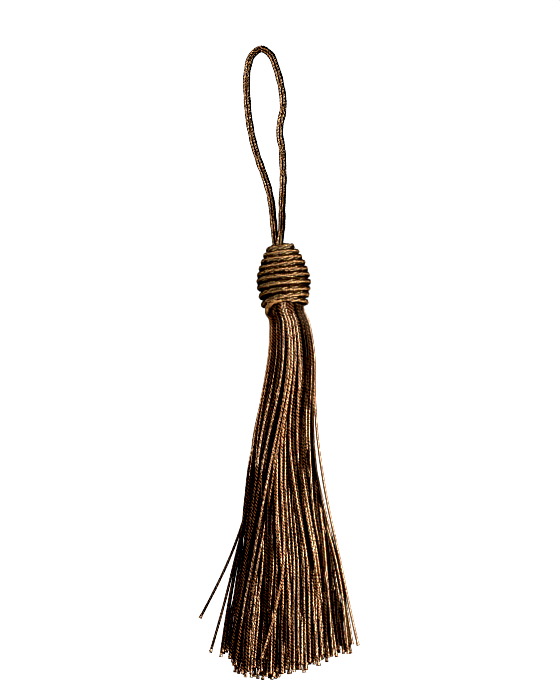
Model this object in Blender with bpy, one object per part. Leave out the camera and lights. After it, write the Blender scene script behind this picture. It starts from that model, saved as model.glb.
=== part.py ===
"""A silk tassel lying on a flat surface.

Three pieces: a hanging loop of twisted cord, a beehive head wound with the same cord, and
a skirt of loose threads whose roots are fused into one plug, seated in a socket of the
head. Metres, +Z up, +Y towards the loop, the surface at z = 0.
"""

import math
import random
from collections import namedtuple

import bmesh
import bpy
import numpy as np
from mathutils import Matrix, Vector

GAP = 0.0003  # left between pieces that touch on the real thing

# Cord of the loop and of the head's winding
CORD_RADIUS = 0.0008
CORD_PLIES = 3
PLY_PITCH = 0.0066  # length of one full twist
PLY_RELIEF = 0.00009  # how far a ply stands proud of the cord's mean radius
CORD_STEP = 0.00078  # spacing of the sections along the cord
CORNERS_PER_PLY = 3

# Head: the line that the wound cord's centre follows, from the top of the head down
HeadSection = namedtuple("HeadSection", "down radius")
HEAD_SECTIONS = (
    HeadSection(down=0.00035, radius=0.00120),
    HeadSection(down=0.00160, radius=0.00250),
    HeadSection(down=0.00400, radius=0.00385),
    HeadSection(down=0.00660, radius=0.00475),
    HeadSection(down=0.00890, radius=0.00510),
    HeadSection(down=0.01150, radius=0.00458),
    HeadSection(down=0.01420, radius=0.00385),
)
HEAD_TOP = Vector((0.0004, 0.0464, 0.0046))
HEAD_LEAN = math.radians(4.0)  # sideways, the loop's end to the left
HEAD_DIP = math.radians(4.5)  # the loop's end lower than the neck
WIND_END = math.radians(100.0)  # the last turn ends here, from the top over the left side
WIND_RADIUS = 0.00075
WIND_PITCH = 0.00138
WIND_STEPS = 24  # sections in a turn
WIND_ROWS = 4  # faces from groove to groove
CROWN_RADIUS = 0.0008  # of the flat inside the first turn
SOCKET_RADIUS = 0.0035
SOCKET_DEPTH = 0.0024

# Skirt: outer edges of the threads, from the neck to the tips
SkirtSection = namedtuple("SkirtSection", "y left right")
SKIRT_SECTIONS = (
    SkirtSection(y=0.0330, left=-0.0024, right=0.0056),
    SkirtSection(y=0.0279, left=-0.0018, right=0.0072),
    SkirtSection(y=0.0215, left=-0.0025, right=0.0086),
    SkirtSection(y=0.0130, left=-0.0046, right=0.0082),
    SkirtSection(y=0.0045, left=-0.0067, right=0.0079),
    SkirtSection(y=-0.0040, left=-0.0077, right=0.0089),
    SkirtSection(y=-0.0126, left=-0.0083, right=0.0109),
    SkirtSection(y=-0.0211, left=-0.0099, right=0.0134),
    SkirtSection(y=-0.0296, left=-0.0116, right=0.0150),
    SkirtSection(y=-0.0381, left=-0.0126, right=0.0160),
    SkirtSection(y=-0.0470, left=-0.0138, right=0.0171),
)
Tip = namedtuple("Tip", "x y")
TIP_LINE = (
    Tip(x=-0.0128, y=-0.0417),
    Tip(x=-0.0110, y=-0.0416),
    Tip(x=-0.0098, y=-0.0446),
    Tip(x=-0.0062, y=-0.0456),
    Tip(x=-0.0019, y=-0.0463),
    Tip(x=0.0045, y=-0.0446),
    Tip(x=0.0109, y=-0.0420),
    Tip(x=0.0168, y=-0.0403),
)
TIP_SCATTER = 0.0018  # how much shorter than that line a thread may be

THREAD_PITCH = 0.00062  # between neighbours where the skirt leaves the head
STRAND_SIDE = 0.00042
STRAND_ROOM = 0.0005  # between the middles of strands that lie on each other
TRIES = 8  # lines from which each thread takes the lowest
LIFT_PASSES = 12
MOUND = 0.85  # how much narrower than the lowest row the top one lies at the tips
NECK_RADIUS = 0.00404
NECK_Y = 0.0315
LIP_LENGTH = 0.0006  # of the plug's lip, below the head
PLUG_SIDES = 32
ROOT_HOLD = 0.0002  # how deep the strands' roots go into the lip
STATIONS = (0.0, 0.003, 0.008, 0.015, 0.025, 0.038, 0.052, 0.066, 0.0788)
CHECKS_PER_SPAN = 8  # places between two stations where a thread rests on others
SPAN_LEAST = 0.001  # between a thread's tip and the station before it
FALL_RUN = 0.030  # over which an unsupported thread comes down to the surface
WAVE_MOST = 0.00045  # sideways
WAVE_TURNS = (0.7, 2.2)  # fewest and most waves in a thread
SEED = 11

# A thread's root: its row from the bottom, its place in the row, and where it leaves the plug
Root = namedtuple("Root", "row rank count side place")

# Threads that leave the rest: where, to which tip, and how strongly they bow
Stray = namedtuple("Stray", "row rank leave_y tip_x tip_y bow")
STRAYS = (
    Stray(row=6, rank=-1, leave_y=0.0170, tip_x=0.0168, tip_y=-0.0392, bow=1.5),
    Stray(row=5, rank=0, leave_y=-0.0080, tip_x=-0.0168, tip_y=-0.0334, bow=1.25),
    Stray(row=7, rank=0, leave_y=-0.0065, tip_x=-0.0146, tip_y=-0.0407, bow=1.25),
    Stray(row=13, rank=2, leave_y=-0.0221, tip_x=-0.0036, tip_y=-0.0417, bow=1.3),
)

# Route of the loop: up the left leg from the head, round the top, down the right leg
LOOP_ROUTE = (
    (-0.00075, 0.04670, 0.00430),
    (-0.00100, 0.04900, 0.00375),
    (-0.00125, 0.05150, 0.00290),
    (-0.00152, 0.05430, 0.00190),
    (-0.00212, 0.05740, 0.00110),
    (-0.00307, 0.06050, 0.00083),
    (-0.00427, 0.06380, 0.00083),
    (-0.00531, 0.06720, 0.00083),
    (-0.00601, 0.07040, 0.00083),
    (-0.00651, 0.07370, 0.00083),
    (-0.00676, 0.07700, 0.00083),
    (-0.00691, 0.08010, 0.00083),
    (-0.00666, 0.08330, 0.00083),
    (-0.00570, 0.08620, 0.00083),
    (-0.00370, 0.08755, 0.00083),
    (-0.00185, 0.08640, 0.00083),
    (-0.00060, 0.08360, 0.00083),
    (0.00030, 0.08040, 0.00083),
    (0.00085, 0.07690, 0.00083),
    (0.00085, 0.07440, 0.00083),
    (0.00030, 0.07180, 0.00083),
    (0.00015, 0.06960, 0.00083),
    (0.00065, 0.06640, 0.00083),
    (0.00080, 0.06330, 0.00083),
    (0.00090, 0.06020, 0.00085),
    (0.00080, 0.05730, 0.00120),
    (0.00065, 0.05430, 0.00225),
    (0.00065, 0.05150, 0.00345),
    (0.00055, 0.04900, 0.00460),
    (0.00020, 0.04670, 0.00550),
)

BROWN_SILK = (0.105, 0.045, 0.016, 1.0)
DARK_SILK = (0.060, 0.026, 0.011, 1.0)
GOLD_SILK = (0.150, 0.070, 0.026, 1.0)


def clear_scene():
    """Remove what the scene holds before the model is built."""
    for obj in list(bpy.data.objects):
        bpy.data.objects.remove(obj, do_unlink=True)


def new_collection(name):
    """Make a collection in the scene."""
    collection = bpy.data.collections.new(name)
    bpy.context.scene.collection.children.link(collection)
    return collection


def silk(name, color):
    """Make the satin finish of twisted silk in the given colour."""
    material = bpy.data.materials.new(name)
    material.use_nodes = True
    shader = material.node_tree.nodes["Principled BSDF"]
    shader.inputs["Base Color"].default_value = color
    shader.inputs["Roughness"].default_value = 0.42
    shader.inputs["Metallic"].default_value = 0.0
    return material


def smooth_table(at, keys, values):
    """Read a table at the given places along a smooth curve through its rows.

    keys rise, and each row's slope is the mean of the slopes beside it.
    """
    keys = np.asarray(keys, float)
    values = np.asarray(values, float)
    slopes = np.gradient(values, keys)
    at = np.clip(at, keys[0], keys[-1])
    row = np.clip(np.searchsorted(keys, at) - 1, 0, len(keys) - 2)
    span = keys[row + 1] - keys[row]
    t = (at - keys[row]) / span
    start = (1 + 2 * t) * (1 - t) ** 2 * values[row]
    end = t * t * (3 - 2 * t) * values[row + 1]
    leaving = t * (1 - t) ** 2 * span * slopes[row]
    arriving = t * t * (t - 1) * span * slopes[row + 1]
    return start + end + leaving + arriving


def smooth_curve(route, step):
    """Read evenly spaced points from one smooth curve through the route's points."""
    route = np.asarray(route, float)
    chords = np.linalg.norm(np.diff(route, axis=0), axis=1)
    keys = np.concatenate([[0.0], np.cumsum(chords)])
    fine = np.linspace(0.0, keys[-1], 40 * len(route))
    curve = np.stack([smooth_table(fine, keys, route[:, i]) for i in range(3)], axis=1)
    lengths = np.linalg.norm(np.diff(curve, axis=0), axis=1)
    walked = np.concatenate([[0.0], np.cumsum(lengths)])
    count = round(walked[-1] / step) + 1
    even = np.linspace(0.0, walked[-1], count)
    return np.stack([np.interp(even, walked, curve[:, i]) for i in range(3)], axis=1)


def curve_object(name, paths, collection):
    """Make a curve object with one straight-sided spline along each path."""
    curve = bpy.data.curves.new(name, "CURVE")
    curve.dimensions = "3D"
    curve.twist_mode = "Z_UP"
    curve.use_fill_caps = True
    for path in paths:
        spline = curve.splines.new("POLY")
        spline.points.add(len(path) - 1)
        for point, place in zip(spline.points, path):
            point.co = (*place, 1.0)
    obj = bpy.data.objects.new(name, curve)
    collection.objects.link(obj)
    return obj


def mesh_from_curve(obj, collection):
    """Replace a curve object by a mesh object with its caps welded on."""
    graph = bpy.context.evaluated_depsgraph_get()
    mesh = bpy.data.meshes.new_from_object(obj.evaluated_get(graph))
    bm = bmesh.new()
    bm.from_mesh(mesh)
    bmesh.ops.remove_doubles(bm, verts=bm.verts, dist=1e-7)
    bmesh.ops.recalc_face_normals(bm, faces=bm.faces)
    bm.to_mesh(mesh)
    bm.free()
    name = obj.name
    place = obj.matrix_world.copy()
    bpy.data.objects.remove(obj, do_unlink=True)
    made = bpy.data.objects.new(name, mesh)
    made.matrix_world = place
    collection.objects.link(made)
    return made


def hide_helper(obj):
    """Keep a guide or an operand out of the model."""
    obj.hide_render = True
    obj.display_type = "WIRE"


def ply_outline(collection):
    """Draw the cord's section: a circle with one bulge for each ply."""
    corners = CORD_PLIES * CORNERS_PER_PLY
    mean = CORD_RADIUS - PLY_RELIEF
    path = []
    for corner in range(corners):
        angle = math.tau * corner / corners
        radius = mean + PLY_RELIEF * math.cos(CORD_PLIES * angle)
        path.append((radius * math.cos(angle), radius * math.sin(angle), 0.0))
    outline = curve_object("ply_outline", [path], collection)
    outline.data.dimensions = "2D"
    outline.data.splines[0].use_cyclic_u = True
    hide_helper(outline)
    return outline


def build_loop(parts, helpers):
    """Sweep the plied section along the loop's route, turning it as the cord is twisted."""
    path = smooth_curve(LOOP_ROUTE, CORD_STEP)
    loop = curve_object("loop_cord", [path], parts)
    loop.data.bevel_mode = "OBJECT"
    loop.data.bevel_object = ply_outline(helpers)
    for index, point in enumerate(loop.data.splines[0].points):
        point.tilt = -math.tau * index * CORD_STEP / PLY_PITCH
    loop = mesh_from_curve(loop, parts)
    loop.data.shade_smooth()
    loop.data.materials.append(silk("loop silk", BROWN_SILK))
    return loop


def head_frame():
    """Turn a head that stands along -Y from the origin into the place where it lies."""
    lean = Matrix.Rotation(HEAD_LEAN, 4, "Z")
    dip = Matrix.Rotation(-HEAD_DIP, 4, "X")
    return Matrix.Translation(HEAD_TOP) @ lean @ dip


def build_head(parts):
    """Wind the head: one groove-to-groove profile, spun as a screw, on an egg's outline."""
    downs = np.array([section.down for section in HEAD_SECTIONS])
    radii = np.array([section.radius for section in HEAD_SECTIONS])
    fine = np.linspace(downs[0], downs[-1], 200)
    outline = np.stack([fine, smooth_table(fine, downs, radii)], axis=1)
    along = np.concatenate([[0.0], np.cumsum(np.linalg.norm(np.diff(outline, axis=0), axis=1))])
    steps = round((along[-1] / WIND_PITCH - 1) * WIND_STEPS)
    pitch = along[-1] / (steps / WIND_STEPS + 1)

    # The screw is made on a cylinder as long as the outline, and then fitted to it.
    bm = bmesh.new()
    start = WIND_END - math.tau * steps / WIND_STEPS
    side = Vector((-math.sin(start), 0.0, math.cos(start)))
    down_one = Vector((0.0, -pitch / WIND_ROWS, 0.0))
    rows = [bm.verts.new(side + row * down_one) for row in range(WIND_ROWS + 1)]
    edges = [bm.edges.new(pair) for pair in zip(rows, rows[1:])]
    bmesh.ops.spin(
        bm,
        geom=rows + edges,
        cent=(0.0, 0.0, 0.0),
        axis=(0.0, -1.0, 0.0),
        dvec=(0.0, -pitch / WIND_STEPS, 0.0),
        angle=math.tau * steps / WIND_STEPS,
        steps=steps,
        use_merge=False,
        use_duplicate=False,
    )
    bmesh.ops.remove_doubles(bm, verts=bm.verts, dist=1e-6)
    for vert in bm.verts:
        down = -vert.co.y
        radial = Vector((vert.co.x, 0.0, vert.co.z)).normalized()
        turn = (math.atan2(-radial.x, radial.z) - start) / math.tau
        phase = (down / pitch - turn) % 1.0
        off_crest = (phase - 0.5) * pitch
        height = math.sqrt(WIND_RADIUS**2 - off_crest**2)
        depth = float(np.interp(down, along, outline[:, 0]))
        radius = float(np.interp(down, along, outline[:, 1]))
        slope = float(np.interp(down, along, np.gradient(outline[:, 1], outline[:, 0])))
        normal = (radial + Vector((0.0, slope, 0.0))).normalized()
        vert.co = radial * radius + Vector((0.0, -depth, 0.0)) + normal * height

    bounds = [edge for edge in bm.edges if edge.is_boundary]
    middle = -downs.mean()
    upper = [edge for edge in bounds if edge.verts[0].co.y > middle]
    lower = [edge for edge in bounds if edge.verts[0].co.y <= middle]
    close_end(bm, upper, [(CROWN_RADIUS, 0.0)])
    close_end(bm, lower, [(SOCKET_RADIUS, downs[-1]), (SOCKET_RADIUS, downs[-1] - SOCKET_DEPTH)])
    bmesh.ops.remove_doubles(bm, verts=bm.verts, dist=1e-6)
    bmesh.ops.recalc_face_normals(bm, faces=bm.faces)
    bm.transform(head_frame())
    for vert in bm.verts:
        vert.co.z = max(vert.co.z, 0.0)
    mesh = bpy.data.meshes.new("head_winding")
    bm.to_mesh(mesh)
    bm.free()
    mesh.shade_smooth()
    mesh.materials.append(silk("head silk", GOLD_SILK))
    head = bpy.data.objects.new("head_winding", mesh)
    parts.objects.link(head)
    return head


def close_end(bm, edges, rings):
    """Close an open end: a ring at each radius and depth, then a face on the last."""
    for radius, down in rings:
        made = bmesh.ops.extrude_edge_only(bm, edges=edges)["geom"]
        edges = [item for item in made if isinstance(item, bmesh.types.BMEdge)]
        edges = [edge for edge in edges if edge.is_boundary]
        for vert in {vert for edge in edges for vert in edge.verts}:
            radial = Vector((vert.co.x, 0.0, vert.co.z)).normalized()
            vert.co = radial * radius - Vector((0.0, down, 0.0))
    bmesh.ops.edgeloop_fill(bm, edges=edges)


def neck_roots():
    """Pack the threads' roots in rows, as rods in a bundle, where they leave the plug."""
    frame = head_frame()
    down = HEAD_SECTIONS[-1].down + GAP + LIP_LENGTH - ROOT_HOLD
    roots = []
    rise = THREAD_PITCH * math.sin(math.radians(60))
    reach = NECK_RADIUS - THREAD_PITCH / 2
    half_rows = int(reach / rise - 0.5) + 1
    for row in range(2 * half_rows):
        height = (row - half_rows + 0.5) * rise
        if abs(height) >= reach:
            continue
        width = 2 * math.sqrt(reach**2 - height**2)
        count = int(width / THREAD_PITCH) + 1
        if count % 2 != row % 2:
            count -= 1
        for rank in range(count):
            side = (rank - (count - 1) / 2) * THREAD_PITCH
            place = frame @ Vector((side, -down, height))
            roots.append(Root(row, rank, count, side, place))
    return roots


def skirt_edges(ys):
    """Read the middles of the skirt's outermost threads, left and right."""
    sections = sorted(SKIRT_SECTIONS, key=lambda section: section.y)
    keys = [section.y for section in sections]
    left = smooth_table(ys, keys, [section.left for section in sections])
    right = smooth_table(ys, keys, [section.right for section in sections])
    return left + THREAD_PITCH / 2, right - THREAD_PITCH / 2


def eased(share):
    """Ease a share of the way, from 0 to 1, in and out."""
    share = np.clip(share, 0.0, 1.0)
    return share * share * (3 - 2 * share)


def stray_of(root):
    """Find the stray that this root belongs to, if it does."""
    for stray in STRAYS:
        rank = stray.rank % root.count
        if (stray.row, rank) == (root.row, root.rank):
            return stray
    return None


def thread_line(root, rows, downs, rng):
    """Draw a thread's sideways line from its root, with a tip and a wave by chance.

    Lower rows spread over more of the skirt's width. Returns x at each station, and the
    share of the width at which the thread ends.
    """
    ys = NECK_Y - downs
    left, right = skirt_edges(ys)
    run = np.clip(downs / downs[-1], 0.0, 1.0)
    reach = math.sqrt(1 - MOUND * ((root.row + 0.5) / rows) ** 2)
    across = root.rank / (root.count - 1) - 0.5 + rng.uniform(-0.5, 0.5) / root.count
    root_share = 0.5 + root.side / (2 * NECK_RADIUS - THREAD_PITCH)
    tip_share = min(max(0.5 + reach * across, 0.0), 1.0)
    share = root_share + (tip_share - root_share) * eased(run)
    wave = WAVE_MOST * rng.uniform(0.2, 1.0) * np.sin(math.pi * run)
    wave = wave * np.sin(math.tau * (run * rng.uniform(*WAVE_TURNS) + rng.random()))
    x = left + (right - left) * share + wave
    stray = stray_of(root)
    if stray:
        gone = np.clip((stray.leave_y - ys) / (stray.leave_y - stray.tip_y), 0.0, None)
        leave_x = float(np.interp(-stray.leave_y, -ys, x))
        x = np.where(gone > 0, leave_x + (stray.tip_x - leave_x) * gone**stray.bow, x)
    return x, tip_share


def tip_of(root, tip_share, rng):
    """Find how far down its y a thread ends."""
    stray = stray_of(root)
    left, right = skirt_edges(np.array([NECK_Y - STATIONS[-1]]))
    x = left[0] + (right[0] - left[0]) * tip_share
    y = float(np.interp(x, [tip.x for tip in TIP_LINE], [tip.y for tip in TIP_LINE]))
    y += TIP_SCATTER * rng.random() ** 1.6
    return stray.tip_y if stray else y


def lay_threads():
    """Lay the skirt's threads, lowest row first, each resting on those already laid.

    A thread is straight between its stations. Of a few lines it takes the one that lies
    lowest. Its height comes down from its root to the surface, or to the threads under
    it. Returns each thread's points, from root to tip.
    """
    rng = random.Random(SEED)
    downs = np.array(STATIONS)
    ys = NECK_Y - downs
    checks = np.arange((len(downs) - 1) * CHECKS_PER_SPAN + 1) / CHECKS_PER_SPAN
    weights = np.clip(1 - abs(checks[:, None] - np.arange(len(downs))[None, :]), 0, 1)
    roots = neck_roots()
    rows = roots[-1].row + 1
    laid = []
    threads = []
    for root in roots:
        lines = [thread_line(root, rows, downs, rng) for _ in range(TRIES)]
        floors = [rest_on(weights @ x, laid) for x, _ in lines]
        lowest = min(range(TRIES), key=lambda index: floors[index].sum())
        x, tip_share = lines[lowest]
        floor = floors[lowest]
        z = STRAND_SIDE / 2 + (root.place.z - STRAND_SIDE / 2) * (1 - eased(downs / FALL_RUN))
        for _ in range(LIFT_PASSES):
            short = np.clip(floor - weights @ z, 0, None)
            z[1:] += (weights * short[:, None]).max(axis=0)[1:]
        laid.append((weights @ x, weights @ z))
        tip_y = tip_of(root, tip_share, rng)
        kept = ys > tip_y + SPAN_LEAST
        points = list(zip(x[kept], ys[kept], z[kept]))
        points[0] = tuple(root.place)
        points.append((np.interp(-tip_y, -ys, x), tip_y, np.interp(-tip_y, -ys, z)))
        threads.append(points)
    return threads


def rest_on(x, laid):
    """Find how high a thread at these places has to lie to clear those already laid."""
    floor = np.full(len(x), STRAND_SIDE / 2)
    for other_x, other_z in laid:
        over = np.abs(x - other_x) < STRAND_ROOM
        floor = np.maximum(floor, np.where(over, other_z + STRAND_ROOM, 0))
    return floor


def build_skirt(parts, helpers):
    """Fuse the strands' roots into the plug that sits in the head's socket."""
    strands = curve_object("strands", lay_threads(), helpers)
    strands.data.bevel_depth = STRAND_SIDE / math.sqrt(2)
    strands.data.bevel_resolution = 0
    for spline in strands.data.splines:
        for point in spline.points:
            point.tilt = math.radians(45)  # a flat side down
    strands = mesh_from_curve(strands, helpers)
    hide_helper(strands)

    plug_radius = SOCKET_RADIUS - GAP
    plug_top = HEAD_SECTIONS[-1].down - SOCKET_DEPTH + GAP
    lip_top = HEAD_SECTIONS[-1].down + GAP
    lip_end = lip_top + LIP_LENGTH
    profile = [
        (0.0, plug_top),
        (plug_radius, plug_top),
        (plug_radius, lip_top),
        (NECK_RADIUS, lip_top + LIP_LENGTH / 2),
        (NECK_RADIUS, lip_end),
        (0.0, lip_end),
    ]
    bm = bmesh.new()
    verts = [bm.verts.new((radius, -down, 0.0)) for radius, down in profile]
    edges = [bm.edges.new(pair) for pair in zip(verts, verts[1:])]
    bmesh.ops.spin(
        bm,
        geom=verts + edges,
        cent=(0.0, 0.0, 0.0),
        axis=(0.0, 1.0, 0.0),
        angle=math.tau,
        steps=PLUG_SIDES,
        use_merge=True,
        use_duplicate=False,
    )
    bmesh.ops.remove_doubles(bm, verts=bm.verts, dist=1e-6)
    bmesh.ops.recalc_face_normals(bm, faces=bm.faces)
    bm.transform(head_frame())
    mesh = bpy.data.meshes.new("skirt")
    bm.to_mesh(mesh)
    bm.free()
    mesh.materials.append(silk("skirt silk", DARK_SILK))
    skirt = bpy.data.objects.new("skirt", mesh)
    parts.objects.link(skirt)
    fuse = skirt.modifiers.new("fuse roots", "BOOLEAN")
    fuse.operation = "UNION"
    fuse.object = strands
    return skirt


clear_scene()
tassel_parts = new_collection("silk tassel")
helper_parts = new_collection("helpers")
build_loop(tassel_parts, helper_parts)
build_head(tassel_parts)
build_skirt(tassel_parts, helper_parts)
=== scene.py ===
# %% [markdown]
# # A silk tassel, thread by thread
#
# A tassel is a loop of twisted cord to hang it by, a head wound from the same cord, and a
# skirt of loose threads bound under the head. Here it lies on a table, seen from straight
# above. The solids of its construction are loaded first. They say where everything is, and
# each piece made below takes the place of one of them.

import math
import random
from collections import namedtuple
from functools import partial

import bmesh
import bpy
import numpy as np
from mathutils import Matrix, Vector


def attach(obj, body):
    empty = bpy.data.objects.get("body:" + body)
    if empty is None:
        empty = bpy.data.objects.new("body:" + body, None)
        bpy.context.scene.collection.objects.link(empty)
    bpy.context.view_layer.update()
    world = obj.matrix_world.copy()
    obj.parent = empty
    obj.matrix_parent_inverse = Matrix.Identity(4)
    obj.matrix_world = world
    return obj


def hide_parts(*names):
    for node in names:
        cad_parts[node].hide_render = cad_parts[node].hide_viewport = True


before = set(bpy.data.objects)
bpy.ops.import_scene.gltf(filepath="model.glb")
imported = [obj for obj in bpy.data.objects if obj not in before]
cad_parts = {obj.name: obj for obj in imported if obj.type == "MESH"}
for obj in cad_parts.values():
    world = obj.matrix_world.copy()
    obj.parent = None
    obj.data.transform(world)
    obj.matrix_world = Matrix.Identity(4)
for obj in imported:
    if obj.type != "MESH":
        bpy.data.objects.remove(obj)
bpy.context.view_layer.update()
scene = bpy.context.scene


def add_object(name, data):
    """Put a mesh, a curve, a lamp or a camera in the scene."""
    obj = bpy.data.objects.new(name, data)
    scene.collection.objects.link(obj)
    return obj


# %% [markdown]
# ## Camera
#
# A camera straight above a flat thing shows its true outline, and a long lens keeps the
# round head from swelling towards the viewer. The picture is taller than wide, so the
# sensor's 36 mm lie along its height.

# %% Camera
PICTURE_HEIGHT = 0.1489  # metres of table, from edge to edge
PICTURE_MIDDLE = Vector((0.00021, 0.0236, 0.0))
SENSOR = 36.0
LENS = 120.0

camera_data = bpy.data.cameras.new("camera")
camera_data.lens = LENS
camera_data.sensor_width = SENSOR
camera_distance = PICTURE_HEIGHT * LENS / SENSOR
camera = add_object("camera", camera_data)
camera.location = PICTURE_MIDDLE + Vector((0.0, 0.0, camera_distance))
scene.camera = camera
print(f"the camera is {camera_distance:.3f} m above the table")

# %% [markdown]
# ## Table and light
#
# Dark silk shows itself by its glints: a thread is black but for the line along it that
# mirrors a lamp. So one lamp stands low on the right and rakes across the threads, and a
# weak one stands across from it. A plain white table would light the gaps from below and
# grey them. This one looks white to the camera, yet throws hardly any light back, like
# frosted glass lit from beneath. The black point is raised a little for the deepest gaps,
# and a narrow filter keeps threads crisp.

# %% Table and light
WHITE = (1.0, 1.0, 1.0, 1.0)
TABLE_SIZE = 1.2
TABLE_DROP = 0.0001  # how far its face lies under the tassel
TABLE_BOUNCE = 0.012  # how much of the lamps' light the table throws back
ROOM_LIGHT = 0.006
BLACK_LEVEL = 0.010  # light fainter than this is black in the picture
FILTER_WIDTH = 0.75  # in pixels
Lamp = namedtuple("Lamp", "name place size power color")
LAMPS = (
    Lamp("key lamp", (0.42, 0.06, 0.40), 0.15, 15.3, (1.0, 0.95, 0.88)),
    Lamp("side lamp", (-0.45, 0.12, 0.30), 0.14, 4.0, (1.0, 0.88, 0.74)),
)


def set_inputs(owner, node, **inputs):
    """Set or link the inputs of a node of a material or world, by name or number."""
    for key, value in inputs.items():
        socket = node.inputs[int(key[1:]) if key[1:].isdigit() else key.replace("_", " ")]
        if isinstance(value, bpy.types.NodeSocket):
            owner.node_tree.links.new(value, socket)
        else:
            socket.default_value = value


def add_node(owner, kind, **inputs):
    """Add a node with its inputs set."""
    node = owner.node_tree.nodes.new(kind)
    set_inputs(owner, node, **inputs)
    return node


def new_material(name):
    """Make a node material and return it with its shader."""
    material = bpy.data.materials.new(name)
    material.use_nodes = True
    return material, material.node_tree.nodes["Principled BSDF"]


def white_when_seen(owner, light):
    """Add a strength that is full where the camera looks and weaker for the light."""
    sight = add_node(owner, "ShaderNodeLightPath")
    strength = add_node(owner, "ShaderNodeMapRange", Value=sight.outputs["Is Camera Ray"], To_Min=light)
    return strength.outputs["Result"]


def make_table():
    """Lay a white table under the tassel."""
    half = TABLE_SIZE / 2
    corners = ((-half, -half), (half, -half), (half, half), (-half, half))
    mesh = bpy.data.meshes.new("table")
    mesh.from_pydata([(x, y, -TABLE_DROP) for x, y in corners], [], [(0, 1, 2, 3)])
    material, shader = new_material("white table")
    set_inputs(
        material, shader, Base_Color=(TABLE_BOUNCE, TABLE_BOUNCE, TABLE_BOUNCE, 1.0),
        Specular_IOR_Level=0.0, Emission_Color=WHITE,
        Emission_Strength=white_when_seen(material, 0.0),
    )
    mesh.materials.append(material)
    table = add_object("table", mesh)


def hang_lamp(lamp):
    """Hang a square soft box at its place, facing the tassel."""
    data = bpy.data.lights.new(lamp.name, "AREA")
    data.shape = "SQUARE"
    data.size = lamp.size
    data.energy = lamp.power
    data.color = lamp.color
    box = add_object(lamp.name, data)
    box.location = lamp.place
    facing = PICTURE_MIDDLE - Vector(lamp.place)
    box.rotation_euler = facing.to_track_quat("-Z", "Y").to_euler()


make_table()
for lamp in LAMPS:
    hang_lamp(lamp)
world = bpy.data.worlds.new("pale room")
world.use_nodes = True
backdrop = world.node_tree.nodes["Background"]
set_inputs(world, backdrop, Color=WHITE, Strength=white_when_seen(world, ROOM_LIGHT))
scene.world = world
scene.view_settings.view_transform = "Standard"
curves = scene.view_settings.curve_mapping
scene.view_settings.use_curve_mapping = True
curves.black_level = (BLACK_LEVEL, BLACK_LEVEL, BLACK_LEVEL)
curves.update()
scene.cycles.filter_width = FILTER_WIDTH
print("lamps:", [lamp.name for lamp in LAMPS])

# %% [markdown]
# ## How a cord is made
#
# A twisted cord is a few plies wound round each other. Its section has a bulge for each ply
# and a sharp groove between, and turns once in each twist. In Blender a curve does this:
# the bevel object is the section, and each point's tilt turns it. A modelled twist catches
# the light from every side, as a painted one can't.

# %% Curves and sections
FINE_STEPS = 40  # for each point of a route
Section = namedtuple("Section", "radius plies corners groove")


def smooth_table(at, keys, values):
    """Read a table along a smooth curve through its rows, whose keys rise."""
    keys = np.asarray(keys, float)
    values = np.asarray(values, float)
    slopes = np.gradient(values, keys)
    at = np.clip(at, keys[0], keys[-1])
    row = np.clip(np.searchsorted(keys, at) - 1, 0, len(keys) - 2)
    span = keys[row + 1] - keys[row]
    t = (at - keys[row]) / span
    start = (1 + 2 * t) * (1 - t) ** 2 * values[row]
    end = t * t * (3 - 2 * t) * values[row + 1]
    leaving = t * (1 - t) ** 2 * span * slopes[row]
    arriving = t * t * (t - 1) * span * slopes[row + 1]
    return start + end + leaving + arriving


def eased(share):
    """Ease a share of the way, from 0 to 1, in and out."""
    share = np.clip(share, 0.0, 1.0)
    return share * share * (3 - 2 * share)


def walk_along(path):
    """Measure how far along the path each point is."""
    steps = np.linalg.norm(np.diff(path, axis=0), axis=1)
    return np.concatenate([[0.0], np.cumsum(steps)])


def smooth_curve(route, step):
    """Read evenly spaced points from one smooth curve through the route's points."""
    route = np.asarray(route, float)
    keys = walk_along(route)
    fine = np.linspace(0.0, keys[-1], FINE_STEPS * len(route))
    curve = np.stack([smooth_table(fine, keys, route[:, i]) for i in range(3)], axis=1)
    walked = walk_along(curve)
    even = np.linspace(0.0, walked[-1], round(walked[-1] / step) + 1)
    return np.stack([np.interp(even, walked, curve[:, i]) for i in range(3)], axis=1)


def add_spline(curve, path, tilts=None, widths=None):
    """Add one straight-sided spline along a path to a curve."""
    spline = curve.splines.new("POLY")
    spline.points.add(len(path) - 1)
    spline.points.foreach_set("co", np.column_stack([path, np.ones(len(path))]).ravel())
    for key, values in (("tilt", tilts), ("radius", widths)):
        if values is not None:
            spline.points.foreach_set(key, values)
    return spline


def draw_section(name, section):
    """Draw a section with its corners for each ply, its groove a share of its radius."""
    corners = section.plies * section.corners
    angles = math.tau * np.arange(corners) / corners
    bulge = np.abs(np.cos(section.plies * angles / 2))
    radii = section.radius * (1 - section.groove * (1 - bulge))
    path = np.column_stack([radii * np.cos(angles), radii * np.sin(angles), 0 * angles])
    curve = bpy.data.curves.new(name, "CURVE")
    curve.dimensions = "2D"
    add_spline(curve, path).use_cyclic_u = True
    outline = add_object(name, curve)
    outline.hide_render = True
    return outline


print("a quarter of the way eases to", eased(0.25))

# %% [markdown]
# ## From curves to meshes
#
# One curve could hold every thread, but nobody could tell afterwards which thread a face of
# its mesh belongs to. So each cord is swept by itself and its mesh joined to the others.
# The mesh keeps the curve's UV map: U runs along the cord and V once round it, and the
# cord's number is added to V. The silk is painted by them.

# %% From curves to meshes
WELD = 1e-7  # vertices nearer than this become one


def read(rows, key, width=1, kind=float):
    """Read a value of each row of a mesh's data, so many numbers wide."""
    values = np.empty(width * len(rows), kind)
    rows.foreach_get(key, values)
    return values


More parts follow.
